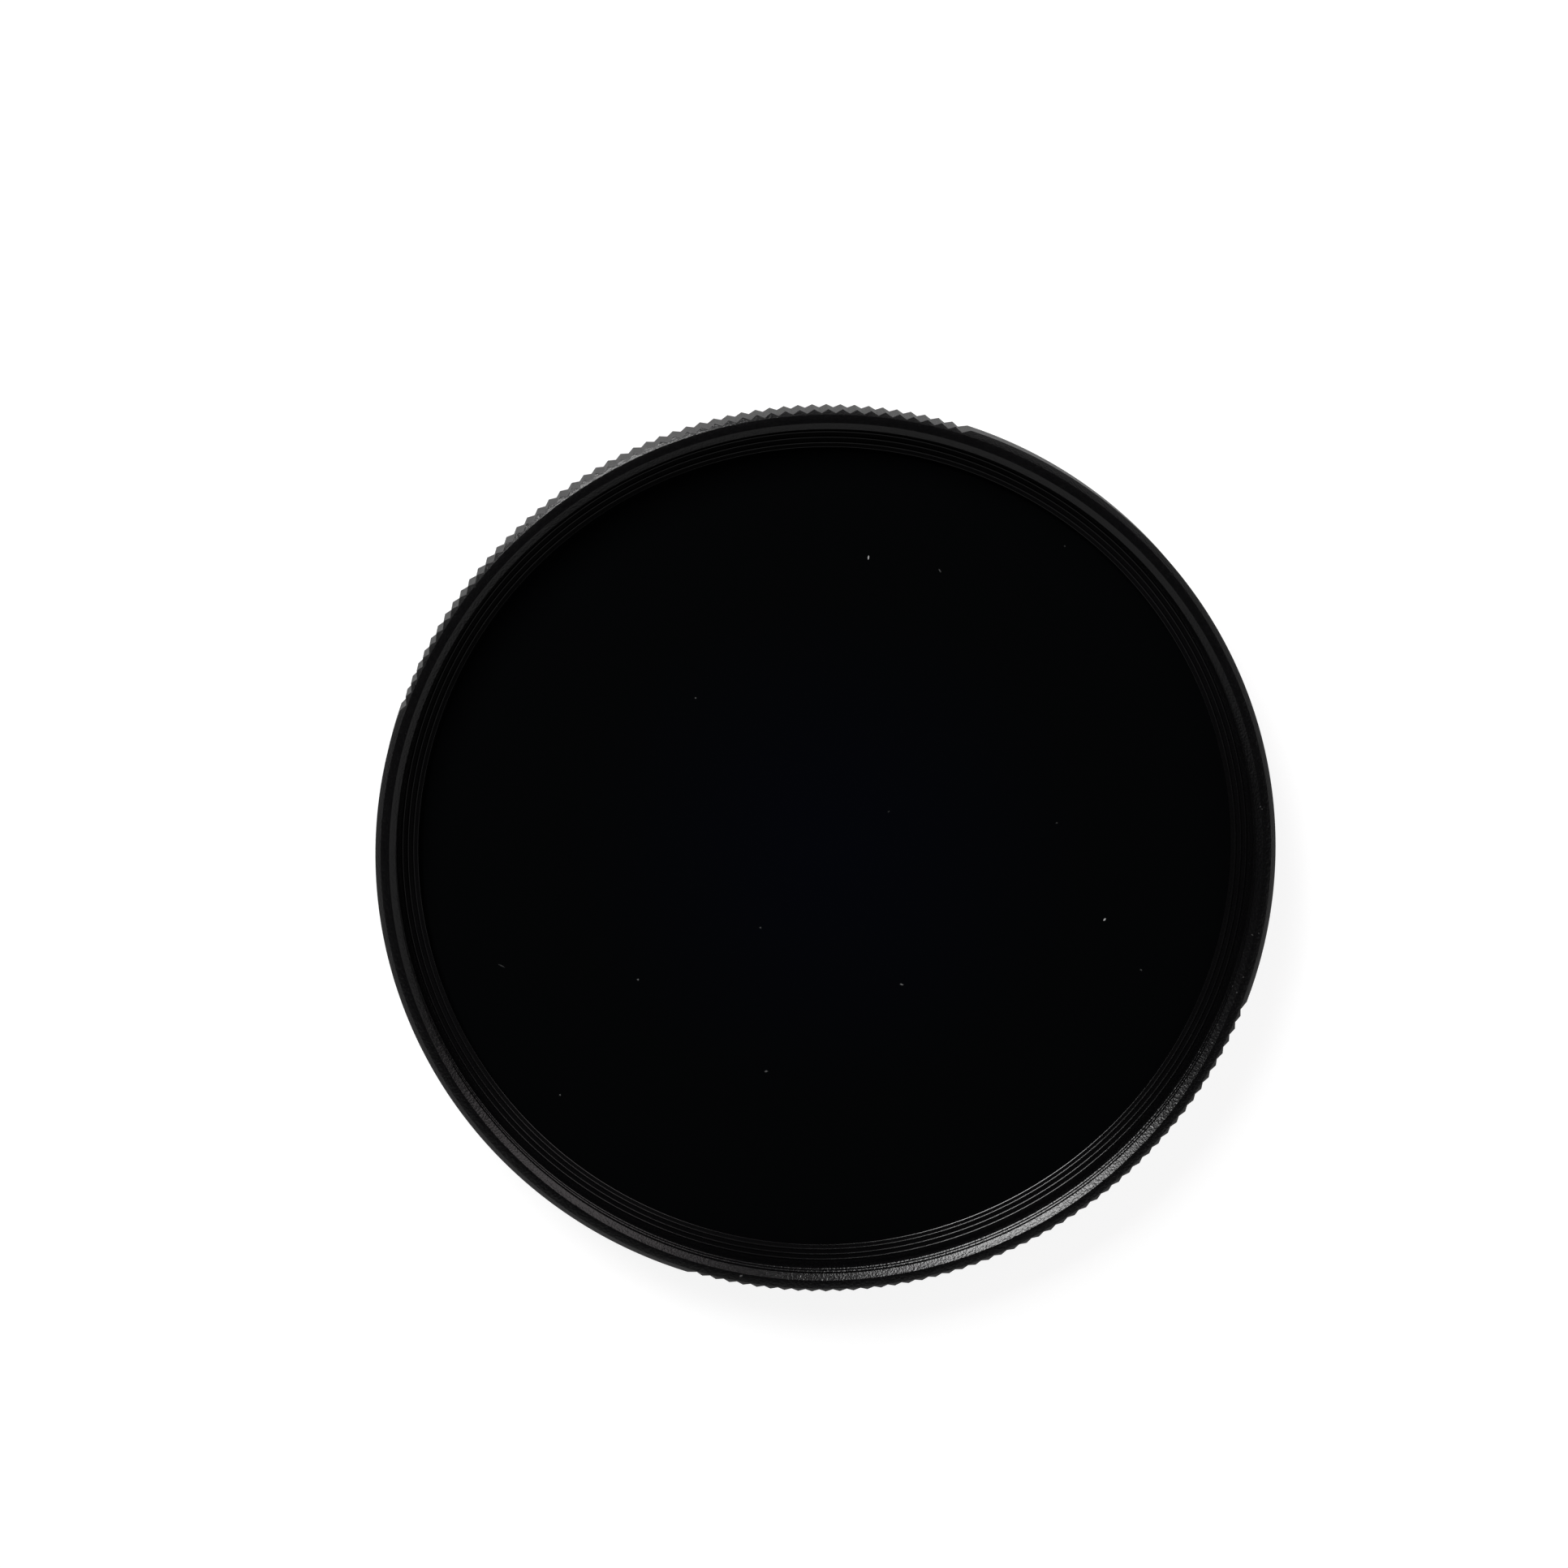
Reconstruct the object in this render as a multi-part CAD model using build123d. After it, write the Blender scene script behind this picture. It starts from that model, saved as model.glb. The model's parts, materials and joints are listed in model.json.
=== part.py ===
from build123d import *
import math
import os

# Neutral density filter that screws onto a lens with a 72 mm filter thread.
# The frame is one turned ring: a flange with two knurled grips, a threaded socket in its
# front face and a screw thread at its rear. The glass lies against the rear of the frame's
# ridged lip, and a slotted ring is screwed in behind it.
# Z = 0 is the rear end of the frame, on which it stands, and +Z points out of the front.
# All lengths are in millimetres.

# The filter thread, front and rear
THREAD_DIAMETER = 72.0
THREAD_PITCH = 0.75
SCREW_ALLOWANCE = 0.05
SCREW_HEIGHT = 2.2
SCREW_END_CHAMFER = 0.3
SCREW_RELIEF_DEPTH = 0.45
SCREW_RELIEF_HEIGHT = 0.45
SHOULDER_UNDERCUT_REACH = 0.1
SHOULDER_UNDERCUT_DEPTH = 0.1

# The flange and its edges
FLANGE_OVERHANG = 1.5
FRONT_CHAMFER_WIDTH = 0.46
FRONT_CHAMFER_HEIGHT = 0.6
REAR_CHAMFER = 0.4

# The two knurled grips
KNURL_DIVISIONS = 200
GRIP_GROOVES = 49
GRIP_COUNT = 2
GROOVE_DEPTH = 0.35
GROOVE_ANGLE = 128.0

# The front socket
SOCKET_DEPTH = 3.0
LEAD_IN_WIDTH = 0.65
LEAD_IN_HEIGHT = 0.38
SOCKET_RELIEF_DEPTH = 0.05
SOCKET_RELIEF_HEIGHT = 0.6

# The lip in front of the glass
LIP_THICKNESS = 0.8
LIP_OVERLAP = 0.55
LIP_EDGE_CHAMFER = 0.1
RIDGE_COUNT = 3
RIDGE_PITCH = 0.45
RIDGE_INSET = 0.4
RIDGE_WIDTH = 0.2
RIDGE_HEIGHT = 0.12

# The glass
GLASS_THICKNESS = 2.0
GLASS_EDGE_CHAMFER = 0.15
GLASS_CLEARANCE = 0.1

# The retaining ring and the bore that it is screwed into
BORE_WALL = 1.1
BORE_STEP = 0.2
BORE_MOUTH_CHAMFER = 0.15
BORE_RUN_ON = 0.3
RING_HEIGHT = 0.8
RING_WIDTH = 1.0
RING_RECESS = 0.4
RING_CLEARANCE = 0.03
RING_EDGE_CHAMFER = 0.25
SLOT_COUNT = 2
SLOT_WIDTH = 1.6
SLOT_DEPTH = 0.45

# Radii that follow from the thread
thread_radius = THREAD_DIAMETER / 2
thread_depth = 5 / 8 * math.sqrt(3) / 2 * THREAD_PITCH
screw_radius = thread_radius - SCREW_ALLOWANCE
socket_radius = thread_radius - thread_depth
flange_radius = thread_radius + FLANGE_OVERHANG
rim_outer_radius = flange_radius - FRONT_CHAMFER_WIDTH
rim_inner_radius = socket_radius + LEAD_IN_WIDTH
bore_radius = thread_radius - BORE_WALL
pocket_radius = bore_radius - BORE_STEP
glass_radius = pocket_radius - GLASS_CLEARANCE
lip_radius = glass_radius - LIP_OVERLAP
ring_outer_radius = bore_radius - RING_CLEARANCE
ring_inner_radius = ring_outer_radius - RING_WIDTH

# Heights of the stack, from the rear end up
ring_bottom = RING_RECESS
glass_bottom = ring_bottom + RING_HEIGHT
glass_top = glass_bottom + GLASS_THICKNESS
lip_face = glass_top + LIP_THICKNESS
frame_top = lip_face + SOCKET_DEPTH
thread_bottom = lip_face + SOCKET_RELIEF_HEIGHT


def turned(section):
    """A solid turned about Z from a closed half-section of (radius, height) points."""
    outline = Polyline(*section, close=True)
    return revolve(Plane.XZ * make_face(outline), Axis.Z)


def screw_section():
    """Rear screw, from the bore's mouth out to the undercut beside the flange's shoulder."""
    relief_radius = screw_radius - SCREW_RELIEF_DEPTH
    relief_bottom = SCREW_HEIGHT - SCREW_RELIEF_HEIGHT
    undercut_radius = screw_radius + SHOULDER_UNDERCUT_REACH
    undercut_top = SCREW_HEIGHT + SHOULDER_UNDERCUT_DEPTH
    return [
        (bore_radius, BORE_MOUTH_CHAMFER),
        (bore_radius + BORE_MOUTH_CHAMFER, 0),
        (screw_radius - SCREW_END_CHAMFER, 0),
        (screw_radius, SCREW_END_CHAMFER),
        (screw_radius, relief_bottom),
        (relief_radius, relief_bottom),
        (relief_radius, undercut_top),
        (undercut_radius, undercut_top),
        (undercut_radius, SCREW_HEIGHT),
    ]


def flange_section():
    """Flange, from its rear edge round to the inner edge of the front rim."""
    return [
        (flange_radius - REAR_CHAMFER, SCREW_HEIGHT),
        (flange_radius, SCREW_HEIGHT + REAR_CHAMFER),
        (flange_radius, frame_top - FRONT_CHAMFER_HEIGHT),
        (rim_outer_radius, frame_top),
        (rim_inner_radius, frame_top),
    ]


def socket_section():
    """Front socket: the lead-in, the wall that carries the thread and the relief below it."""
    relief_radius = thread_radius + SOCKET_RELIEF_DEPTH
    return [
        (socket_radius, frame_top - LEAD_IN_HEIGHT),
        (socket_radius, thread_bottom),
        (relief_radius, thread_bottom),
        (relief_radius, lip_face),
    ]


def ridge_section(radius):
    """One ridge of the lip's face, from its outer foot over the crest to its inner foot."""
    return [
        (radius + RIDGE_WIDTH / 2, lip_face),
        (radius, lip_face + RIDGE_HEIGHT),
        (radius - RIDGE_WIDTH / 2, lip_face),
    ]


def lip_section():
    """Lip: its ridged face, its inner edge, and the steps of the glass pocket behind it."""
    section = []
    for number in reversed(range(RIDGE_COUNT)):
        section += ridge_section(lip_radius + RIDGE_INSET + number * RIDGE_PITCH)
    section += [
        (lip_radius + LIP_EDGE_CHAMFER, lip_face),
        (lip_radius, lip_face - LIP_EDGE_CHAMFER),
        (lip_radius, glass_top),
        (pocket_radius, glass_top),
        (pocket_radius, glass_bottom + BORE_RUN_ON),
        (bore_radius, glass_bottom + BORE_RUN_ON),
    ]
    return section


def knurl_grooves():
    """All the V-grooves of the grips, one grip on each side of the ring."""
    floor_radius = flange_radius - GROOVE_DEPTH
    mouth_radius = flange_radius + GROOVE_DEPTH
    half_mouth = (mouth_radius - floor_radius) * math.tan(math.radians(GROOVE_ANGLE / 2))
    mouth_corners = [(mouth_radius, half_mouth), (mouth_radius, -half_mouth)]
    groove = make_face(Polyline((floor_radius, 0), *mouth_corners, close=True))
    step = 360 / KNURL_DIVISIONS
    first = -step * (GRIP_GROOVES - 1) / 2
    cutters = []
    for grip in range(GRIP_COUNT):
        for number in range(GRIP_GROOVES):
            angle = grip * 360 / GRIP_COUNT + first + number * step
            cutters.append(extrude(Rot(0, 0, angle) * groove, frame_top))
    return cutters


def filter_frame():
    """The one-piece threaded ring with its knurled grips."""
    blank = turned(screw_section() + flange_section() + socket_section() + lip_section())
    return blank - knurl_grooves()


def nd_glass():
    """The dark glass disc, its sharp edges ground off."""
    disc = Cylinder(glass_radius, GLASS_THICKNESS, align=(Align.CENTER, Align.CENTER, Align.MIN))
    disc = chamfer(disc.edges().filter_by(GeomType.CIRCLE), GLASS_EDGE_CHAMFER)
    return Pos(0, 0, glass_bottom) * disc


def retaining_ring():
    """The ring screwed in behind the glass, with slots in its rear face for a pin wrench."""
    ring = turned(
        [
            (ring_inner_radius + RING_EDGE_CHAMFER, ring_bottom),
            (ring_outer_radius, ring_bottom),
            (ring_outer_radius, glass_bottom),
            (ring_inner_radius, glass_bottom),
            (ring_inner_radius, ring_bottom + RING_EDGE_CHAMFER),
        ]
    )
    middle_radius = (ring_inner_radius + ring_outer_radius) / 2
    slot = Pos(middle_radius, 0, ring_bottom) * Box(2 * RING_WIDTH, SLOT_WIDTH, 2 * SLOT_DEPTH)
    return ring - [Rot(0, 0, 90 + number * 360 / SLOT_COUNT) * slot for number in range(SLOT_COUNT)]


PARTS = {
    "filter_frame": filter_frame,
    "nd_glass": nd_glass,
    "retaining_ring": retaining_ring,
}

os.makedirs("parts", exist_ok=True)
for name, build in PARTS.items():
    export_step(build(), f"parts/{name}.step")
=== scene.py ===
# %% [markdown]
# A screw-in neutral density filter
#
# The object is a black anodised ring, 75 mm across and 7 mm high, that holds a disc of very
# dark glass. Its rear screw fits the front of a lens, and its front socket takes a hood, a cap
# or another filter. The solid model already has every piece at its real size. This script
# gives the pieces the roundness, the threads and the finishes that the eye sees, and then the
# studio in which they are photographed. The solid model is loaded first, because the sizes
# and places below start from it.

# %% Load the solid model
import json
import math

import bpy
from mathutils import Matrix, Vector


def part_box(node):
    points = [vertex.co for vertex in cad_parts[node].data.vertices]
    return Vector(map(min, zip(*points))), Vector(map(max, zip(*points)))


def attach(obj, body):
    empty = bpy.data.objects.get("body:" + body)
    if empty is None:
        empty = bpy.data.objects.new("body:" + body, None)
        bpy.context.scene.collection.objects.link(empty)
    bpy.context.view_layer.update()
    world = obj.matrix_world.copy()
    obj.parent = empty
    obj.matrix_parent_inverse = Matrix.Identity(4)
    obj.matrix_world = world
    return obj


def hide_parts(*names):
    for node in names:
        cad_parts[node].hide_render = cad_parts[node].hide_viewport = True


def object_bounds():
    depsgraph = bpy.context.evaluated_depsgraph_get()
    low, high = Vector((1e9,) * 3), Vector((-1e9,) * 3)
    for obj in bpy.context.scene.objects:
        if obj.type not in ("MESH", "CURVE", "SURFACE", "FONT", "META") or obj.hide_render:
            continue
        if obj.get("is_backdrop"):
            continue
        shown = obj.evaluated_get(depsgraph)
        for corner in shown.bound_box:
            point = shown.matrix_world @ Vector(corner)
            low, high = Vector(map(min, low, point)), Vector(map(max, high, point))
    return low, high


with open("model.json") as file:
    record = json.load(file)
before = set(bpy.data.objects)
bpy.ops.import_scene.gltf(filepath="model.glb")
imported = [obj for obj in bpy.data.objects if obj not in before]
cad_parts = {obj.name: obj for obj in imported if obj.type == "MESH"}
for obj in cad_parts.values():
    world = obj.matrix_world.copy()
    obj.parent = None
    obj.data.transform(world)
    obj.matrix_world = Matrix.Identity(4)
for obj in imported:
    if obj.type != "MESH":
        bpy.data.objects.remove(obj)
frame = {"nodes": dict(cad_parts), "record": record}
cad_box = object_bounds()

MM = 0.001


def in_mm(length):
    """A length in millimetres, rounded for printing."""
    return round(length / MM, 3)


print("pieces of the solid model:", sorted(frame["nodes"]))
print("its box in mm:", [[in_mm(length) for length in place] for place in cad_box])

# %% [markdown]
# Sizes
#
# The overall sizes come from the boxes of the solid pieces, and the two thread radii from the
# mounts in the part's record, so this script follows the solid model if that changes. The
# ring's grips lie on the X axis, so its plain radius is measured along Y. The small sizes that
# no box gives, such as a chamfer or a ridge, are written here once with plain names. The
# photograph shows the crests of the front thread cut back a little from the nominal radius that
# the solid wall has, so a trim is added to that radius.

# %% Sizes that the solid model gives
frame_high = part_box("filter_frame")[1]
glass_low, glass_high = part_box("nd_glass")
ring_low, ring_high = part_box("retaining_ring")
mounts = {mount["name"]: mount for mount in frame["record"]["mounts"]}

flange_radius = frame_high.y
frame_top = frame_high.z
solid_crest_radius = mounts["front_thread"]["dims"]["r_mm"] * MM
screw_radius = mounts["rear_thread"]["dims"]["r_mm"] * MM
shoulder_height = mounts["shoulder"]["pos_m"][2]
print("flange radius", in_mm(flange_radius), "mm, height", in_mm(frame_top), "mm")
print("solid wall of the socket at radius", in_mm(solid_crest_radius), "mm")

# %% Small sizes of the ring
PITCH = 0.75 * MM
THREAD_RADIUS = 36.0 * MM
SCREW_CHAMFER = 0.3 * MM
SCREW_RELIEF_RADIUS = 35.5 * MM
SCREW_RELIEF_HEIGHT = 0.45 * MM
UNDERCUT = 0.1 * MM
REAR_CHAMFER = 0.4 * MM
FRONT_CHAMFER_WIDTH = 0.46 * MM
FRONT_CHAMFER_HEIGHT = 0.6 * MM
CREST_TRIM = 0.23 * MM
LEAD_IN_WIDTH = 0.51 * MM
LEAD_IN_HEIGHT = 0.30 * MM
SOCKET_DEPTH = 3.0 * MM
SOCKET_RELIEF_RADIUS = 36.05 * MM
SOCKET_RELIEF_HEIGHT = 0.6 * MM
LIP_RADIUS = 34.05 * MM
LIP_CHAMFER_WIDTH = 0.035 * MM
LIP_CHAMFER_HEIGHT = 0.022 * MM
RIDGE_RADII = [35.35 * MM, 34.9 * MM, 34.45 * MM]
RIDGE_WIDTH = 0.2 * MM
RIDGE_HEIGHT = 0.12 * MM
RIDGE_ROUNDING = 0.1 * MM
RIDGE_STEPS = 6
POCKET_RADIUS = 34.7 * MM
BORE_RADIUS = 34.9 * MM
BORE_CHAMFER = 0.15 * MM
BORE_RUN_ON = 0.3 * MM
EDGE_BREAK = 0.03 * MM
RIM_EDGE_STEPS = 2

lip_face = frame_top - SOCKET_DEPTH
rim_outer_radius = flange_radius - FRONT_CHAMFER_WIDTH
crest_radius = solid_crest_radius + CREST_TRIM
rim_inner_radius = crest_radius + LEAD_IN_WIDTH
print("rim from radius", in_mm(rim_inner_radius), "to", in_mm(rim_outer_radius), "mm")

# %% [markdown]
# A lathe for sections
#
# A turned ring is one section swept round the axis. In Blender a circle of points is added,
# and its edge is extruded from one corner of the section to the next, with a scale about the
# axis for the radius and a move for the height. 400 columns keep the outline round in a close
# view, and their angle of 0.9 degrees is half a tooth of the grips, which the knurling below
# makes use of. Real edges are never quite sharp, so a corner may carry a rounding, which is
# put in as a short arc of its own points.

# %% Corners of a section, with their roundings
def corner(radius, height, rounding=0.0, steps=1):
    """One corner of a section: its place, the radius that rounds it and the steps of that arc."""
    return Vector((radius, height)), rounding, steps


def with_roundings(corners):
    """The closed section's points, where each rounded corner has become a short arc."""
    points = []
    for index, (place, rounding, steps) in enumerate(corners):
        if rounding == 0:
            points.append(place)
            continue
        to_last = (corners[index - 1][0] - place).normalized()
        to_next = (corners[(index + 1) % len(corners)][0] - place).normalized()
        half = to_last.angle(to_next) / 2
        centre = place + (to_last + to_next).normalized() * rounding / math.sin(half)
        start = place + to_last * rounding / math.tan(half) - centre
        end = place + to_next * rounding / math.tan(half) - centre
        whole_turn = start.angle_signed(end)
        for step in range(steps + 1):
            angle = -whole_turn * step / steps
            points.append(centre + Matrix.Rotation(angle, 2) @ start)
    return points


# %% The lathe
COLUMNS = 400
COLUMN_ANGLE = 360 / COLUMNS
WELD = 0.001 * MM


def add_circle(radius, height):
    """A circle of points round the axis, ready in edit mode with its edge selected."""
    bpy.ops.object.select_all(action="DESELECT")
    bpy.ops.mesh.primitive_circle_add(vertices=COLUMNS, radius=radius, location=(0, 0, height))
    bpy.ops.object.transform_apply(location=True, rotation=True, scale=True)
    bpy.ops.object.mode_set(mode="EDIT")
    bpy.ops.mesh.select_mode(type="EDGE")
    bpy.ops.mesh.select_all(action="SELECT")
    return bpy.context.object


def turn_ring(name, corners):
    """A closed ring turned from a section."""
    points = with_roundings(corners)
    ring = add_circle(points[0].x, points[0].y)
    ring.name = name
    last = points[0]
    for point in points[1:] + points[:1]:
        bpy.ops.mesh.extrude_edges_move(TRANSFORM_OT_translate={"value": (0, 0, point.y - last.y)})
        growth = point.x / last.x
        bpy.ops.transform.resize(value=(growth, growth, 1), center_override=(0, 0, 0))
        last = point
    bpy.ops.mesh.select_all(action="SELECT")
    bpy.ops.mesh.remove_doubles(threshold=WELD)
    bpy.ops.mesh.normals_make_consistent(inside=False)
    bpy.ops.object.mode_set(mode="OBJECT")
    print(name, "turned:", len(points), "section points,", len(ring.data.polygons), "faces")
    return ring


# %% [markdown]
# The filter ring
#
# The photograph looks into the front of the ring. From outside to inside it shows the flange
# wall, a steep outer chamfer, a flat rim, the lead-in of the socket, the threaded wall, a
# relief, three fine ridges that keep stray light off the glass, and the lip's bright inner
# edge. The rear has the screw with its relief and the shoulder. One closed section holds all
# of these, written in the order in which a finger would follow them.

# %% The section's rear and outside
def screw_corners():
    """The rear end and the screw, up to the shoulder of the flange."""
    relief_bottom = shoulder_height - SCREW_RELIEF_HEIGHT
    undercut_radius = screw_radius + UNDERCUT
    return [
        corner(BORE_RADIUS, BORE_CHAMFER),
        corner(BORE_RADIUS + BORE_CHAMFER, 0, EDGE_BREAK),
        corner(screw_radius - SCREW_CHAMFER, 0, EDGE_BREAK),
        corner(screw_radius, SCREW_CHAMFER),
        corner(screw_radius, relief_bottom),
        corner(SCREW_RELIEF_RADIUS, relief_bottom),
        corner(SCREW_RELIEF_RADIUS, shoulder_height + UNDERCUT),
        corner(undercut_radius, shoulder_height + UNDERCUT),
        corner(undercut_radius, shoulder_height),
    ]


def flange_corners():
    """The flange, from its rear chamfer round to the inner edge of the rim."""
    return [
        corner(flange_radius - REAR_CHAMFER, shoulder_height, EDGE_BREAK),
        corner(flange_radius, shoulder_height + REAR_CHAMFER),
        corner(flange_radius, frame_top - FRONT_CHAMFER_HEIGHT),
        corner(rim_outer_radius, frame_top, EDGE_BREAK, RIM_EDGE_STEPS),
        corner(rim_inner_radius, frame_top, EDGE_BREAK, RIM_EDGE_STEPS),
    ]


# %% The section's inside
def socket_corners():
    """The lead-in, the wall that gets the thread, and the relief under it."""
    thread_bottom = lip_face + SOCKET_RELIEF_HEIGHT
    return [
        corner(crest_radius, frame_top - LEAD_IN_HEIGHT),
        corner(crest_radius, thread_bottom),
        corner(SOCKET_RELIEF_RADIUS, thread_bottom),
        corner(SOCKET_RELIEF_RADIUS, lip_face),
    ]


def lip_corners():
    """The ridged face of the lip, its inner edge, and the steps that hold the glass behind it."""
    ridges = []
    for radius in RIDGE_RADII:
        ridges += [
            corner(radius + RIDGE_WIDTH / 2, lip_face),
            corner(radius, lip_face + RIDGE_HEIGHT, RIDGE_ROUNDING, RIDGE_STEPS),
            corner(radius - RIDGE_WIDTH / 2, lip_face),
        ]
    return ridges + [
        corner(LIP_RADIUS + LIP_CHAMFER_WIDTH, lip_face),
        corner(LIP_RADIUS, lip_face - LIP_CHAMFER_HEIGHT),
        corner(LIP_RADIUS, glass_high.z),
        corner(POCKET_RADIUS, glass_high.z),
        corner(POCKET_RADIUS, glass_low.z + BORE_RUN_ON),
        corner(BORE_RADIUS, glass_low.z + BORE_RUN_ON),
    ]


# %% Turn the filter ring
ring_section = screw_corners() + flange_corners() + socket_corners() + lip_corners()
filter_ring = turn_ring("filter_ring", ring_section)

# %% [markdown]
# The knurled grips
#
# Two stretches of the flange, one on each side, are cut with 49 upright V-grooves, 1.8 degrees
# apart, so that fingers can turn the filter. A groove could be cut with a wedge, but then 98
# wedges would leave ragged faces. The columns of the ring already stand where the grooves have
# their floors and their crests, so it is cleaner to move the columns: every second one goes in
# to the floor of a groove and the ones between become crests. The top and bottom ends of a
# column slide along the chamfers, which is why the teeth end in small points there. At each end
# of a grip the last flank runs out on the round wall, and the column there is turned a little,
# to the place where the flank meets the wall.

# %% Where the grooves and crests lie
GROOVES_PER_GRIP = 49
GROOVE_DEPTH = 0.35 * MM
GROOVE_HALF_ANGLE = math.radians(64)

floor_radius = flange_radius - GROOVE_DEPTH
last_floor_column = GROOVES_PER_GRIP - 1
end_column = last_floor_column + 2
column_turn = math.radians(COLUMN_ANGLE)
# How far from the axis the straight line of a flank passes. It gives the radius at which two
# flanks meet in a crest, and the angle at which the last one meets the round wall.
flank_distance = floor_radius * math.sin(GROOVE_HALF_ANGLE)
tooth_radius = flank_distance / math.sin(GROOVE_HALF_ANGLE - column_turn)
flank_end = GROOVE_HALF_ANGLE - math.asin(flank_distance / flange_radius)
end_turn = (end_column - last_floor_column) * column_turn - flank_end
print("crests at", in_mm(tooth_radius), "mm")
print("end columns turned by", round(math.degrees(end_turn), 3), "degrees")

# %% Select points by their place
NEAR = 0.01 * MM


def select_points(piece, wanted):
    """Selects the points of a piece whose place passes a test, and enters edit mode."""
    bpy.ops.object.mode_set(mode="OBJECT")
    bpy.context.tool_settings.mesh_select_mode = (True, False, False)
    mesh = piece.data
    mesh.polygons.foreach_set("select", [False] * len(mesh.polygons))
    mesh.edges.foreach_set("select", [False] * len(mesh.edges))
    chosen = [wanted(vertex.co) for vertex in mesh.vertices]
    mesh.vertices.foreach_set("select", chosen)
    bpy.ops.object.mode_set(mode="EDIT")
    return sum(chosen)


def on_wall(place, height):
    """Whether a point is on the edge of the flange wall at that height."""
    radius = math.hypot(place.x, place.y)
    return abs(radius - flange_radius) < NEAR and abs(place.z - height) < NEAR


# %% Tell the columns apart
def column_of(place):
    """The column that a point stands in, counted from the middle of the nearer grip."""
    return round(math.degrees(math.atan2(place.y, abs(place.x))) / COLUMN_ANGLE)


def is_floor(column):
    """Whether a column goes in to the floor of a groove."""
    return column % 2 == 0 and abs(column) <= last_floor_column


def is_crest(column):
    """Whether a column becomes the crest between two grooves."""
    return column % 2 == 1 and abs(column) <= last_floor_column + 1


def front_edge_height(radius):
    """The height of the front chamfer at a radius."""
    return frame_top - FRONT_CHAMFER_HEIGHT * (radius - rim_outer_radius) / FRONT_CHAMFER_WIDTH


def rear_edge_height(radius):
    """The height of the rear chamfer at a radius."""
    return shoulder_height + radius - (flange_radius - REAR_CHAMFER)


def is_grip_end(place):
    """Whether a point of the wall's two edges is where the last flank of a grip runs out."""
    edges = (front_edge_height(flange_radius), rear_edge_height(flange_radius))
    return any(on_wall(place, height) for height in edges) and abs(column_of(place)) == end_column


# %% Move the columns
def knurl(ring):
    """Cuts both grips into the flange by moving the columns of its wall."""
    for edge_height in (front_edge_height, rear_edge_height):
        wall_edge = edge_height(flange_radius)
        for radius, belongs in ((floor_radius, is_floor), (tooth_radius, is_crest)):
            count = select_points(ring, lambda p: on_wall(p, wall_edge) and belongs(column_of(p)))
            growth = radius / flange_radius
            bpy.ops.transform.resize(value=(growth, growth, 1), center_override=(0, 0, 0))
            bpy.ops.transform.translate(value=(0, 0, edge_height(radius) - wall_edge))
            print("moved", count, "points to radius", in_mm(radius), "mm")
    for side in (1, -1):
        select_points(ring, lambda p: is_grip_end(p) and side * p.x * p.y > 0)
        bpy.ops.transform.rotate(value=side * end_turn, orient_axis="Z", center_override=(0, 0, 0))
    bpy.ops.object.mode_set(mode="OBJECT")


knurl(filter_ring)

# %% [markdown]
# The threads
#
# The front socket and the rear screw carry the same fine thread, 0.75 mm from turn to turn. Its
# groove is a helix, so it is cut with a bar that has the groove's section and climbs like a
# spring. The bar starts as a small plane, is narrowed at the root, and the Screw modifier winds
# it. A Boolean then takes it out of the ring, which also gives the true run-outs, where each
# thread fades into its relief at one end and into a chamfer at the other. The bar is turned by
# half a column more than a whole number, so that none of its corners falls on a corner of the
# ring. The trim of the front crests leaves that groove shallower than the one of the screw.

# %% A helical bar
def wind_bar(name, mouth, root, first_height, turns, end_columns):
    """A bar with a thread groove's section, wound into a helix.

    The mouth and the root of the groove are each given by a radius and a width. Both ends of the
    bar lie so many columns clockwise from the X axis, seen from the front.
    """
    mouth_radius, mouth_width = mouth
    root_radius, root_width = root
    middle = ((mouth_radius + root_radius) / 2, 0, first_height)
    bpy.ops.object.select_all(action="DESELECT")
    bpy.ops.mesh.primitive_plane_add(size=1, location=middle, rotation=(math.pi / 2, 0, 0))
    bar = bpy.context.object
    bar.name = name
    bar.scale = (abs(root_radius - mouth_radius), mouth_width, 1)
    bpy.ops.object.transform_apply(location=True, rotation=True, scale=True)
    select_points(bar, lambda p: abs(p.x - root_radius) < NEAR)
    squeeze = root_width / mouth_width
    root_place = (root_radius, 0, first_height)
    bpy.ops.transform.resize(value=(1, 1, squeeze), center_override=root_place)
    bpy.ops.mesh.select_all(action="SELECT")
    clockwise = math.radians((end_columns + 0.5) * COLUMN_ANGLE)
    bpy.ops.transform.rotate(value=clockwise, orient_axis="Z", center_override=(0, 0, 0))
    bpy.ops.object.mode_set(mode="OBJECT")
    helix = bar.modifiers.new("helix", "SCREW")
    helix.screw_offset = PITCH
    helix.iterations = turns
    helix.steps = COLUMNS
    helix.render_steps = COLUMNS
    bpy.ops.object.modifier_apply(modifier=helix.name)
    bpy.ops.object.mode_set(mode="EDIT")
    bpy.ops.mesh.select_all(action="SELECT")
    bpy.ops.mesh.fill_holes(sides=4)
    bpy.ops.mesh.normals_make_consistent(inside=False)
    bpy.ops.object.mode_set(mode="OBJECT")
    return bar


# %% Take a tool out of a piece
def select_only(piece):
    """Makes a piece the one that is selected and active."""
    bpy.ops.object.select_all(action="DESELECT")
    piece.select_set(True)
    bpy.context.view_layer.objects.active = piece


def cut(piece, tool):
    """Takes the tool out of the piece and deletes it."""
    select_only(piece)
    difference = piece.modifiers.new("difference", "BOOLEAN")
    difference.operation = "DIFFERENCE"
    difference.solver = "EXACT"
    difference.object = tool
    bpy.ops.object.modifier_apply(modifier=difference.name)
    bpy.data.objects.remove(tool)


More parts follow.
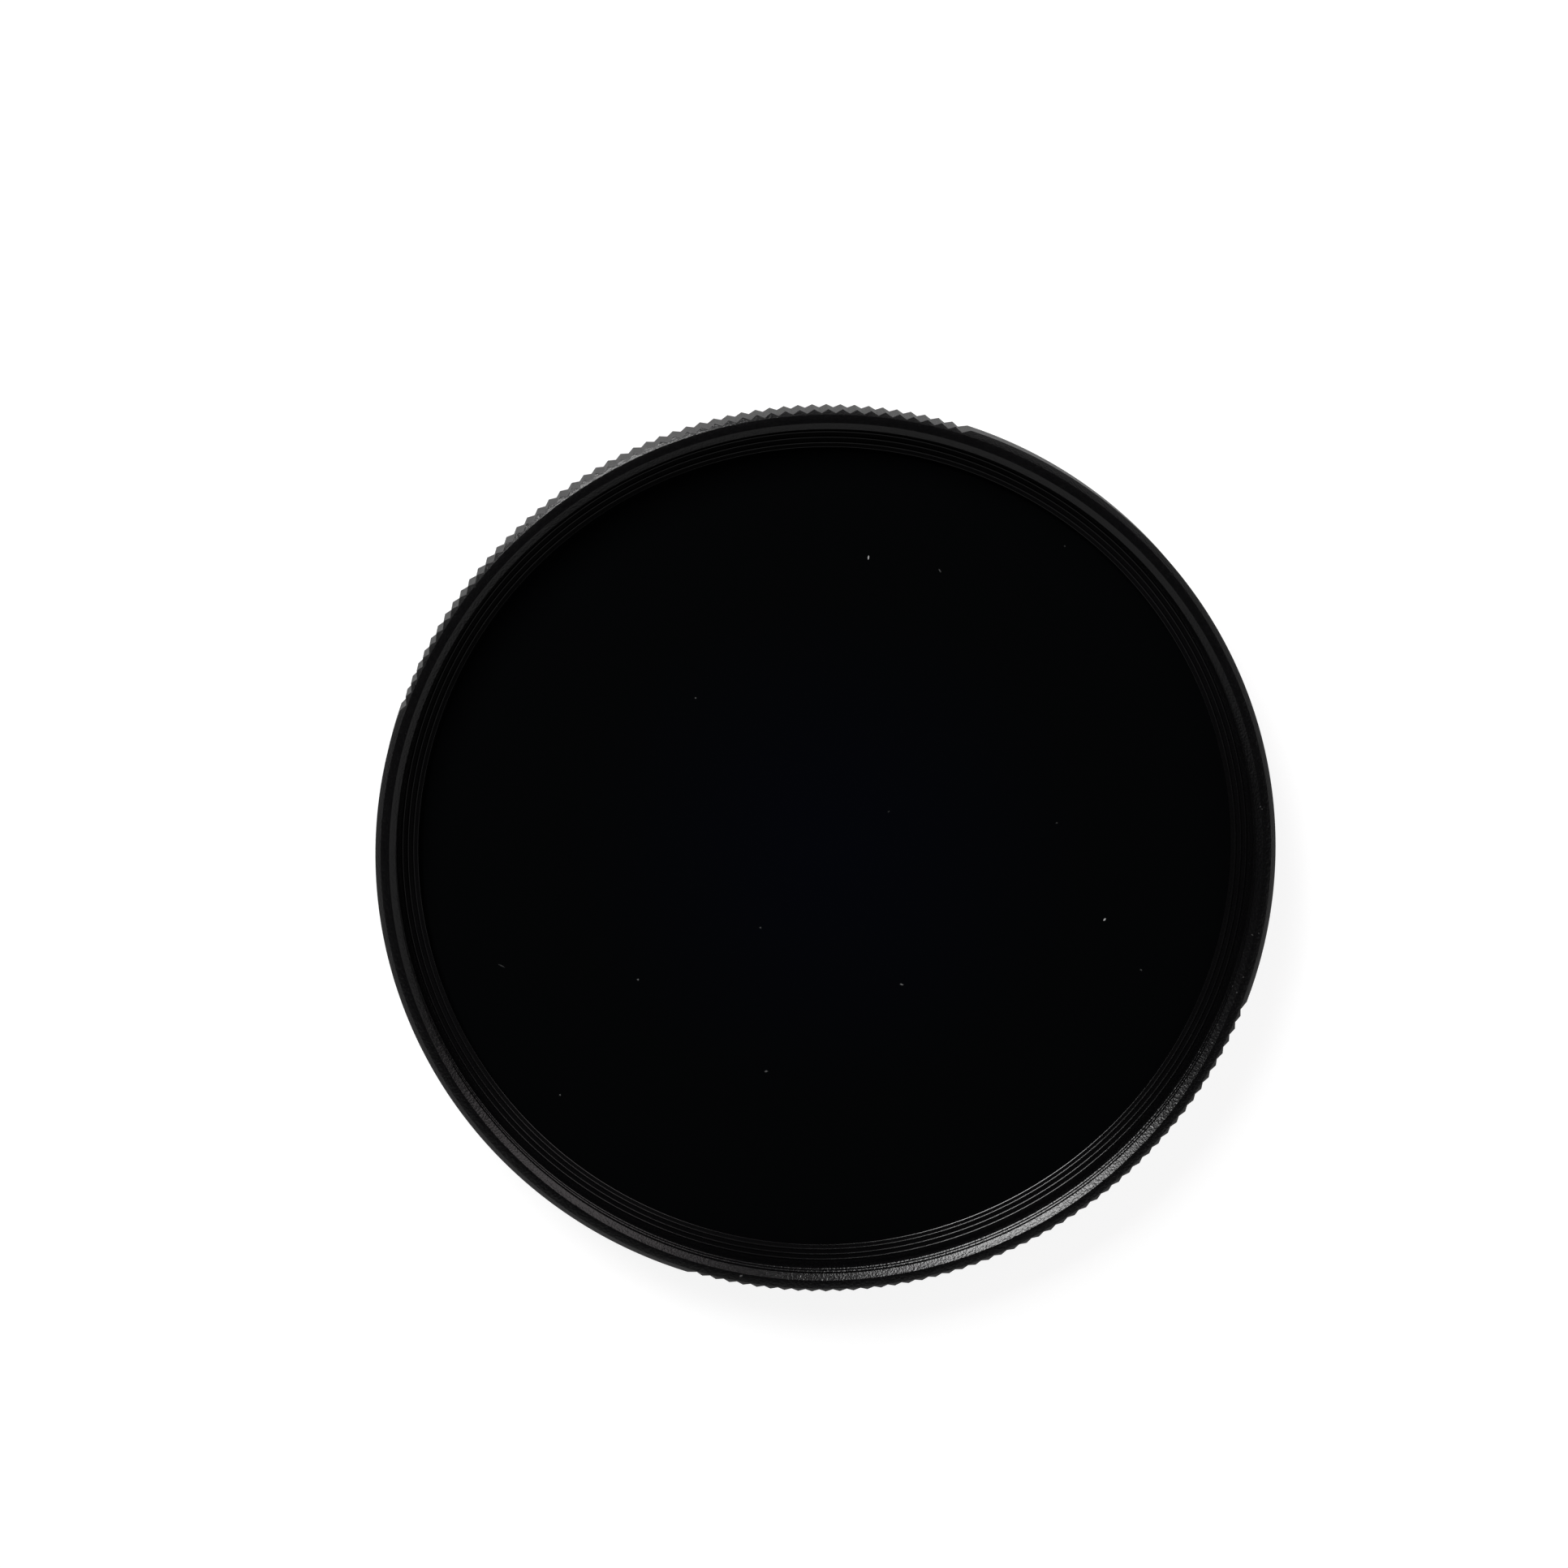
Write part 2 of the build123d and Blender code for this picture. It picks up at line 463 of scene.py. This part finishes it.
# %% Cut the front thread and the rear thread
FLANK_SLOPE = math.tan(math.radians(30))
ROOT_FLAT = PITCH / 8
OVERCUT = 0.05 * MM
# The front groove starts this far above the lip's face.
FRONT_START = 0.35 * MM
FRONT_TURNS = 3
FRONT_END_COLUMNS = 96
# The rear groove stays this far outside its relief, and ends this far below the shoulder.
REAR_ROOT_STEP = 0.04 * MM
REAR_END_DEPTH = 0.38 * MM
REAR_TURNS = 3
REAR_END_COLUMNS = 0


def cut_thread(ring, name, mouth_radius, root_radius, first_height, turns, end_columns):
    """Cuts a thread into the ring: a helical groove with flanks 60 degrees apart."""
    mouth_width = ROOT_FLAT + 2 * abs(root_radius - mouth_radius) * FLANK_SLOPE
    mouth = (mouth_radius, mouth_width)
    root = (root_radius, ROOT_FLAT)
    cut(ring, wind_bar(name, mouth, root, first_height, turns, end_columns))
    print(name, "taken out, the ring has", len(ring.data.polygons), "faces")


cut_thread(
    filter_ring,
    "front_thread_bar",
    mouth_radius=crest_radius - OVERCUT,
    root_radius=THREAD_RADIUS,
    first_height=lip_face + FRONT_START,
    turns=FRONT_TURNS,
    end_columns=FRONT_END_COLUMNS,
)
cut_thread(
    filter_ring,
    "rear_thread_bar",
    mouth_radius=screw_radius + OVERCUT,
    root_radius=SCREW_RELIEF_RADIUS + REAR_ROOT_STEP,
    first_height=shoulder_height - REAR_END_DEPTH - REAR_TURNS * PITCH,
    turns=REAR_TURNS,
    end_columns=REAR_END_COLUMNS,
)

# %% [markdown]
# The retaining ring
#
# Behind the glass a thin ring is screwed in from the rear and holds the disc against the lip.
# It has two slots in its rear face for the pins of a lens wrench. It is turned like the filter
# ring, and each slot is taken out with a small block.

# %% Turn and slot the retaining ring
RING_INNER_CHAMFER = 0.25 * MM
RING_WIDTH = 1.0 * MM
SLOT_WIDTH = 1.6 * MM
SLOT_DEPTH = 0.45 * MM

ring_outer = ring_high.y
ring_inner = ring_outer - RING_WIDTH
retaining_ring = turn_ring(
    "glass_retaining_ring",
    [
        corner(ring_inner + RING_INNER_CHAMFER, ring_low.z, EDGE_BREAK),
        corner(ring_outer, ring_low.z, EDGE_BREAK),
        corner(ring_outer, ring_high.z),
        corner(ring_inner, ring_high.z),
        corner(ring_inner, ring_low.z + RING_INNER_CHAMFER),
    ],
)
for side in (1, -1):
    middle = side * (ring_inner + ring_outer) / 2
    bpy.ops.object.select_all(action="DESELECT")
    bpy.ops.mesh.primitive_cube_add(size=1, location=(0, middle, ring_low.z))
    block = bpy.context.object
    block.scale = (SLOT_WIDTH, 2 * RING_WIDTH, 2 * SLOT_DEPTH)
    bpy.ops.object.transform_apply(location=True, rotation=True, scale=True)
    cut(retaining_ring, block)
print("the slotted retaining ring has", len(retaining_ring.data.polygons), "faces")

# %% [markdown]
# Smooth and sharp
#
# A turned ring is smooth round its axis and sharp at the corners of its section. Shading by
# angle gives both: faces that meet under 20 degrees blend, which joins the 0.9 degree steps
# of the columns and the arcs of the ridges, and all other edges stay crisp.

# %% Shade the rings and tie the pieces to the solid model
SMOOTH_ANGLE = math.radians(20)

for piece, node in ((filter_ring, "filter_frame"), (retaining_ring, "retaining_ring")):
    select_only(piece)
    bpy.ops.object.shade_smooth_by_angle(angle=SMOOTH_ANGLE)
    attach(piece, "root")
    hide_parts(node)
    print(piece.name, "stands for", node)

# %% [markdown]
# Shader sums
#
# The finishes below are small calculations on positions and noise. Written as nodes they are
# hard to read, so one class wraps a socket and turns Python's own signs into Math nodes. A
# second class holds the nodes of a material, and any other node comes from one method of it.

# %% Sockets that can be added and multiplied
class Signal:
    """A number that varies over a surface. Python sums on it add the Math nodes for the sum."""

    def __init__(self, finish, socket):
        self.finish = finish
        self.socket = socket

    def math(self, operation, *terms):
        """One Math node on these terms."""
        sockets = dict(enumerate(terms))
        return self.finish.signal("ShaderNodeMath", "Value", {"operation": operation}, sockets)

    def __add__(self, other):
        return self.math("ADD", self, other)

    __radd__ = __add__

    def __sub__(self, other):
        return self.math("SUBTRACT", self, other)

    def __rsub__(self, other):
        return self.math("SUBTRACT", other, self)

    def __mul__(self, other):
        return self.math("MULTIPLY", self, other)

    __rmul__ = __mul__

    def limited(self):
        """The same number kept between 0 and 1."""
        return self.finish.signal("ShaderNodeClamp", "Result", {}, {"Value": self})


# %% A material's nodes
# A Mix node has sockets of the same names for numbers, vectors and colours, so its sockets for
# colours go by their numbers.
MIX_SHARE = 0
MIX_FIRST = 6
MIX_SECOND = 7
MIX_RESULT = 2


class Finish:
    """The nodes of a material or of the world. One method adds any node, and the others use it."""

    def __init__(self, owner):
        owner.use_nodes = True
        self.tree = owner.node_tree
        self.tree.nodes.clear()

    def node(self, kind, settings, sockets):
        """Adds a node: first its settings, then the values or links of its sockets."""
        node = self.tree.nodes.new(kind)
        for name, value in settings.items():
            setattr(node, name, value)
        for key, value in sockets.items():
            if isinstance(value, Signal):
                self.tree.links.new(value.socket, node.inputs[key])
            else:
                node.inputs[key].default_value = value
        return node

    def signal(self, kind, output, settings, sockets):
        """Adds a node and gives back one of its outputs."""
        return Signal(self, self.node(kind, settings, sockets).outputs[output])

    def noise(self, place, per_metre, detail):
        """Noise from 0 to 1 with so many grains in a metre."""
        sockets = {"Vector": place, "Scale": per_metre, "Detail": detail}
        return self.signal("ShaderNodeTexNoise", "Fac", {}, sockets)

    def length(self, vector):
        """The length of a vector."""
        settings = {"operation": "LENGTH"}
        return self.signal("ShaderNodeVectorMath", "Value", settings, {0: vector})

    def blend(self, share, first, second):
        """A colour between two colours."""
        sockets = {MIX_SHARE: share, MIX_FIRST: first, MIX_SECOND: second}
        return self.signal("ShaderNodeMix", MIX_RESULT, {"data_type": "RGBA"}, sockets)


def grey(level):
    """A colour with no hue."""
    return (level, level, level, 1)


# %% [markdown]
# The camera
#
# The filter lies on its rear end, and the camera looks down on it from 40 cm, tilted by 10.8
# degrees towards the upper side of the picture. That tilt shows a sliver of the outer wall at
# the top and more of the inner wall at the bottom. The camera is placed from those angles in
# the ring's own frame: the top of the picture lies 153.56 degrees round from the X axis. Moving
# it a few millimetres to the left and upwards puts the ring where the photograph has it.

# %% Place the camera
PICTURE_TOP = math.radians(153.56)
LEAN_DIRECTION = PICTURE_TOP + math.radians(12.2)
LEAN = math.radians(10.8)
CAMERA_DISTANCE = 397.9 * MM
CAMERA_RIGHT = -3.61 * MM
CAMERA_UP = 6.24 * MM
LENS = 109.94

lean_reach = math.sin(LEAN)
lean_x = lean_reach * math.cos(LEAN_DIRECTION)
lean_y = lean_reach * math.sin(LEAN_DIRECTION)
view_back = Vector((lean_x, lean_y, math.cos(LEAN)))
up_drop = math.tan(LEAN) * math.cos(LEAN_DIRECTION - PICTURE_TOP)
view_up = Vector((math.cos(PICTURE_TOP), math.sin(PICTURE_TOP), -up_drop)).normalized()
view_right = view_up.cross(view_back)
rim_centre = Vector((0, 0, frame_top))

bpy.ops.object.camera_add()
camera = bpy.context.object
camera.data.lens = LENS
camera_turn = Matrix((view_right, view_up, view_back)).transposed().to_4x4()
stand = rim_centre + view_back * CAMERA_DISTANCE + view_right * CAMERA_RIGHT + view_up * CAMERA_UP
camera.matrix_world = Matrix.Translation(stand) @ camera_turn
bpy.context.scene.camera = camera
print("camera at", [in_mm(length) for length in stand], "mm")

# %% [markdown]
# Dust
#
# A few specks of dust lie on the rim and on the glass, as they do in the photograph. Their
# places are read off the picture and carried back along the camera's rays to the height of the
# rim or of the glass. Each speck is a soft oval, brighter than the finish below it.

# %% From a place in the picture to a place on the part
PICTURE_SIZE = 1932
SENSOR_WIDTH = 36.0

pixel_on_part = CAMERA_DISTANCE / LENS * SENSOR_WIDTH / PICTURE_SIZE


def place_under(x, y, height):
    """The point at a height on the part that the picture shows at x, y."""
    across = (x - PICTURE_SIZE / 2) / PICTURE_SIZE * SENSOR_WIDTH / LENS
    down = (y - PICTURE_SIZE / 2) / PICTURE_SIZE * SENSOR_WIDTH / LENS
    ray = view_right * across - view_up * down - view_back
    return stand + ray * (height - stand.z) / ray.z


print("a pixel of the picture covers", in_mm(pixel_on_part), "mm of the part")

# %% One speck, and a finish with a list of them
# How strong a speck is in its middle, before the limit of 1, and how fast it fades outwards.
SPECK_MIDDLE = 1.6
SPECK_FADE = 1.3


def speck(finish, place, height, depth, x, y, length, width, slant):
    """A soft oval speck, 1 in its middle and 0 outside it, that reaches to a depth."""
    slant_angle = math.radians(slant)
    along = view_right * math.cos(slant_angle) + view_up * math.sin(slant_angle)
    sockets = {
        "Vector": place,
        "Location": place_under(x, y, height),
        "Rotation": (0, 0, math.atan2(along.y, along.x)),
        "Scale": (length * pixel_on_part / 2, width * pixel_on_part / 2, depth),
    }
    local = finish.signal("ShaderNodeMapping", "Vector", {"vector_type": "TEXTURE"}, sockets)
    return (SPECK_MIDDLE - SPECK_FADE * finish.length(local)).limited()


def dusted(finish, place, height, depth, colour, specks):
    """The colour with the specks on it, and how dusty each place is."""
    dusty = 0.0
    for x, y, length, width, slant, brightness in specks:
        mask = speck(finish, place, height, depth, x, y, length, width, slant)
        colour = finish.blend(mask, colour, grey(brightness))
        dusty = dusty + mask
    return colour, dusty.limited()


# %% [markdown]
# Black anodised aluminium
#
# The ring was bead-blasted before it was anodised. The blasting leaves pits about a fifth of a
# millimetre wide, which glitter on the chamfers wherever light comes in at a slant, and the
# dye makes the oxide layer almost black. The layer is clear like glass, so it reflects little
# from straight above and a lot at a grazing angle: that is why the side of the ring looks pale
# grey while the rim beside it looks black. A slightly rough, non-metallic surface does exactly
# this, with the pits as a bump. The ridged lip was turned after the blasting, so it has no
# pits, and its ridges show as clean lines.

# %% The dust on the rim
RIM_DUST_DEPTH = 0.4 * MM
# Each speck: its place in the picture, its length and width there, its slant in degrees and
# how bright it is.
RIM_DUST = [
    (1519, 1216, 3.0, 1.6, 60, 0.045),
    (1532, 1204, 2.0, 1.6, 20, 0.050),
    (1524, 1223, 2.0, 1.5, 0, 0.040),
    (1543, 1152, 2.4, 1.4, -40, 0.040),
    (1551, 1150, 1.8, 1.5, 0, 0.035),
    (913, 1572, 4.0, 2.2, 25, 0.090),
    (496, 1034, 2.4, 1.6, 80, 0.040),
    (1553, 994, 2.4, 1.5, 70, 0.040),
    (1555, 997, 2.0, 1.5, 0, 0.030),
]
print("specks on the rim:", len(RIM_DUST))

# %% The anodised finish
PITS_PER_METRE = 5500
PIT_DETAIL = 2
PIT_DEPTH = 0.03 * MM
CLOUDS_PER_METRE = 350
CLOUD_DETAIL = 3
LIP_ZONE_RADIUS = 35.5 * MM
DYE_DARK = (0.0007, 0.0007, 0.0009, 1)
DYE_PALE = (0.0025, 0.0023, 0.0027, 1)
OXIDE_IOR = 1.5
OXIDE_ROUGHNESS = 0.20
CLOUD_ROUGHNESS = 0.04
PIT_ROUGHNESS = 0.05
RIM_DUST_ROUGHNESS = 0.4


def beyond_lip(finish, place):
    """0 on the ridged lip and 1 outside it."""
    sockets = {0: place, 1: (1, 1, 0)}
    flat = finish.signal("ShaderNodeVectorMath", "Vector", {"operation": "MULTIPLY"}, sockets)
    radius = finish.length(flat)
    return radius.math("GREATER_THAN", radius, LIP_ZONE_RADIUS)


def anodised_finish():
    """The black finish of both rings, with its pits, its faint clouds and its dust."""
    material = bpy.data.materials.new("black_anodised_aluminium")
    finish = Finish(material)
    place = finish.signal("ShaderNodeTexCoord", "Object", {}, {})
    pits = finish.noise(place, PITS_PER_METRE, PIT_DETAIL)
    clouds = finish.noise(place, CLOUDS_PER_METRE, CLOUD_DETAIL)
    dye = finish.blend(pits, DYE_DARK, DYE_PALE)
    colour, dusty = dusted(finish, place, frame_top, RIM_DUST_DEPTH, dye, RIM_DUST)
    bump = {"Distance": PIT_DEPTH, "Height": pits * beyond_lip(finish, place)}
    relief = finish.signal("ShaderNodeBump", "Normal", {}, bump)
    roughness = OXIDE_ROUGHNESS + CLOUD_ROUGHNESS * clouds + PIT_ROUGHNESS * pits
    roughness = roughness + RIM_DUST_ROUGHNESS * dusty
    sockets = {"Base Color": colour, "Roughness": roughness, "Normal": relief, "IOR": OXIDE_IOR}
    surface = finish.signal("ShaderNodeBsdfPrincipled", "BSDF", {}, sockets)
    finish.node("ShaderNodeOutputMaterial", {}, {"Surface": surface})
    return material


anodised = anodised_finish()
for piece in (filter_ring, retaining_ring):
    piece.data.materials.clear()
    piece.data.materials.append(anodised)
print(anodised.name, "has", len(anodised.node_tree.nodes), "nodes")

# %% [markdown]
# Dark glass
#
# Ten stops of neutral density let a thousandth of the light through, so the disc looks black. A
# bluish patch near its middle is a painted reflection, put into the glass's colour. The coating
# keeps its real reflections far below those of plain glass.

# %% The dust on the glass
GLASS_DUST_DEPTH = 0.1 * MM
# The columns are those of the dust on the rim.
GLASS_DUST = [
    (1070, 687, 5.0, 1.8, 85, 0.50),
    (1361, 1133, 4.0, 2.2, 50, 0.45),
    (1158, 703, 5.0, 1.6, -55, 0.07),
    (1111, 1213, 4.5, 2.0, -15, 0.14),
    (944, 1320, 4.0, 2.4, 10, 0.10),
    (618, 1190, 9.0, 1.6, -28, 0.035),
    (786, 1207, 2.4, 2.2, 0, 0.14),
    (937, 1143, 2.6, 2.0, 0, 0.08),
    (1406, 1195, 3.0, 2.0, -30, 0.05),
    (857, 860, 2.2, 2.0, 0, 0.08),
    (690, 1349, 2.2, 2.0, 0, 0.10),
    (1302, 1014, 2.4, 2.0, 0, 0.04),
    (1312, 673, 2.2, 2.0, 0, 0.03),
    (1095, 1000, 3.0, 1.8, 30, 0.03),
]
print("specks on the glass:", len(GLASS_DUST))

# %% The glass finish
# How far from the middle the painted bluish reflection reaches, and its colour in the middle.
PAINTED_REFLECTION_REACH = 22 * MM
GLASS_DARK = (0.0017, 0.0019, 0.0021, 1)
GLASS_PAINTED_REFLECTION = (0.0017, 0.0021, 0.0038, 1)
GLASS_ROUGHNESS = 0.04
GLASS_DUST_ROUGHNESS = 0.7
GLASS_IOR = 1.5
COATING_REFLECTION = 0.04
COATING_TINT = (0.75, 0.85, 1.0, 1)


def glass_finish():
    """The dark coated glass with a painted bluish reflection near its middle, and its dust."""
    material = bpy.data.materials.new("dark_coated_glass")
    finish = Finish(material)
    place = finish.signal("ShaderNodeTexCoord", "Object", {}, {})
    # A painted reflection: the glass's colour turns bluer towards the middle of the disc.
    painted_reflection = (1 - finish.length(place) * (1 / PAINTED_REFLECTION_REACH)).limited()
    glass_with_painted_reflection = finish.blend(painted_reflection, GLASS_DARK, GLASS_PAINTED_REFLECTION)
    colour, dusty = dusted(finish, place, glass_high.z, GLASS_DUST_DEPTH, glass_with_painted_reflection, GLASS_DUST)
    sockets = {
        "Base Color": colour,
        "Roughness": GLASS_ROUGHNESS + GLASS_DUST_ROUGHNESS * dusty,
        "IOR": GLASS_IOR,
        "Specular IOR Level": COATING_REFLECTION,
        "Specular Tint": COATING_TINT,
    }
    surface = finish.signal("ShaderNodeBsdfPrincipled", "BSDF", {}, sockets)
    finish.node("ShaderNodeOutputMaterial", {}, {"Surface": surface})
    return material


glass = frame["nodes"]["nd_glass"]
dark_glass = glass_finish()
glass.data.materials.clear()
glass.data.materials.append(dark_glass)
print(dark_glass.name, "has", len(dark_glass.node_tree.nodes), "nodes")

# %% [markdown]
# The studio
#
# The photograph has a white ground, a large soft light from its upper left, a weaker one from
# the upper right, and a dark ceiling, which is what the rim and the glass reflect. Two dim
# panels stand on the near side and the right, and a low strip on the upper left makes the pits
# of the outer chamfer glitter. The lights are placed by the direction in the picture from which
# they come.

# %% Lights
LAMP_DISTANCE = 1.0
WHITE = (1.0, 1.0, 1.0)
WARM = (1.0, 0.93, 0.95)


def direction_from_picture(clockwise, elevation):
    """A direction by its angles clockwise from the picture's top and above the floor."""
    bearing = PICTURE_TOP - math.radians(clockwise)
    lift = math.radians(elevation)
    level = math.cos(lift)
    return Vector((math.cos(bearing) * level, math.sin(bearing) * level, math.sin(lift)))


def softbox(name, clockwise, elevation, width, height, watts, colour):
    """An upright soft light that faces the part."""
    direction = direction_from_picture(clockwise, elevation)
    bpy.ops.object.light_add(type="AREA", location=direction * LAMP_DISTANCE)
    lamp = bpy.context.object
    lamp.name = name
    lamp.rotation_euler = direction.to_track_quat("Z", "Y").to_euler()
    lamp.data.shape = "RECTANGLE"
    lamp.data.size = width
    lamp.data.size_y = height
    lamp.data.energy = watts
    lamp.data.color = colour
    print(name, "with", watts, "W at", [round(length, 2) for length in lamp.location], "m")


softbox("key_light", clockwise=328, elevation=42, width=0.42, height=0.42, watts=9.0, colour=WHITE)
softbox("fill_light", clockwise=48, elevation=42, width=0.5, height=0.5, watts=1.3, colour=WARM)
softbox("front_panel", clockwise=195, elevation=41, width=1.2, height=0.9, watts=1.1, colour=WHITE)
softbox("right_panel", clockwise=120, elevation=43, width=1.0, height=0.6, watts=0.7, colour=WHITE)
softbox("low_strip", clockwise=328, elevation=1.7, width=0.5, height=0.045, watts=2.8, colour=WHITE)

# %% [markdown]
# The floor and the room
#
# The floor is a pale matt surface that keeps the shadow of the ring. It adds just enough light
# of its own to what the camera sees to turn out white, and a small share of that light to what
# a glossy surface mirrors. Round it the world is white to the camera. To every other ray it is
# a dim room with a dark ceiling, which grows lighter towards the horizon.

# %% Floor
FLOOR_RADIUS = 6.0
FLOOR_CORNERS = 128
FLOOR_GREY = 0.27
FLOOR_GLOW = 0.87
GLOSSY_SHARE = 0.14


def ray_is(finish, kind):
    """1 for rays of one kind, such as those from the camera, and 0 for all others."""
    return finish.signal("ShaderNodeLightPath", kind, {}, {})


def floor_finish():
    """Matt grey, with a glow for the camera, for what glass lets through and for reflections."""
    material = bpy.data.materials.new("pale_floor")
    finish = Finish(material)
    reflected = GLOSSY_SHARE * ray_is(finish, "Is Glossy Ray")
    direct = ray_is(finish, "Is Camera Ray") + ray_is(finish, "Is Transmission Ray")
    strength = (direct + reflected).limited() * FLOOR_GLOW
    matt = finish.signal("ShaderNodeBsdfDiffuse", "BSDF", {}, {"Color": grey(FLOOR_GREY)})
    glow = finish.signal("ShaderNodeEmission", "Emission", {}, {"Strength": strength})
    both = finish.signal("ShaderNodeAddShader", "Shader", {}, {0: matt, 1: glow})
    finish.node("ShaderNodeOutputMaterial", {}, {"Surface": both})
    return material


bpy.ops.object.select_all(action="DESELECT")
bpy.ops.mesh.primitive_circle_add(
    vertices=FLOOR_CORNERS,
    radius=FLOOR_RADIUS,
    fill_type="NGON",
    location=(0, 0, 0),
)
floor = bpy.context.object
floor.name = "floor"
floor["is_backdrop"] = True
floor.data.materials.append(floor_finish())
print("floor with a radius of", FLOOR_RADIUS, "m")

# %% World
HORIZON_REACH = 0.45
CEILING_LIGHT = 0.012
HORIZON_LIGHT = 0.16


def studio_world():
    """White to the camera, and a dim room to every other ray."""
    world = bpy.data.worlds.new("studio")
    finish = Finish(world)
    direction = finish.signal("ShaderNodeTexCoord", "Generated", {}, {})
    height = finish.signal("ShaderNodeSeparateXYZ", "Z", {}, {0: direction})
    near_horizon = (1 - height * (1 / HORIZON_REACH)).limited()
    room = CEILING_LIGHT + HORIZON_LIGHT * near_horizon * near_horizon
    to_camera = ray_is(finish, "Is Camera Ray")
    strength = to_camera + (1 - to_camera) * room
    background = finish.signal("ShaderNodeBackground", "Background", {}, {"Strength": strength})
    finish.node("ShaderNodeOutputWorld", {}, {"Surface": background})
    return world


bpy.context.scene.world = studio_world()
bpy.context.scene.view_settings.view_transform = "Standard"
print("the world is", bpy.context.scene.world.name)

# %% [markdown]
# Both boxes
#
# Finishing must not change how large the object is. So the box of the solid model is printed at
# the start, and the box of the finished pieces here, where they can be compared.

# %% Note both boxes and finish
shown_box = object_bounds()
print("visual box in mm:", [[in_mm(length) for length in place] for place in shown_box])
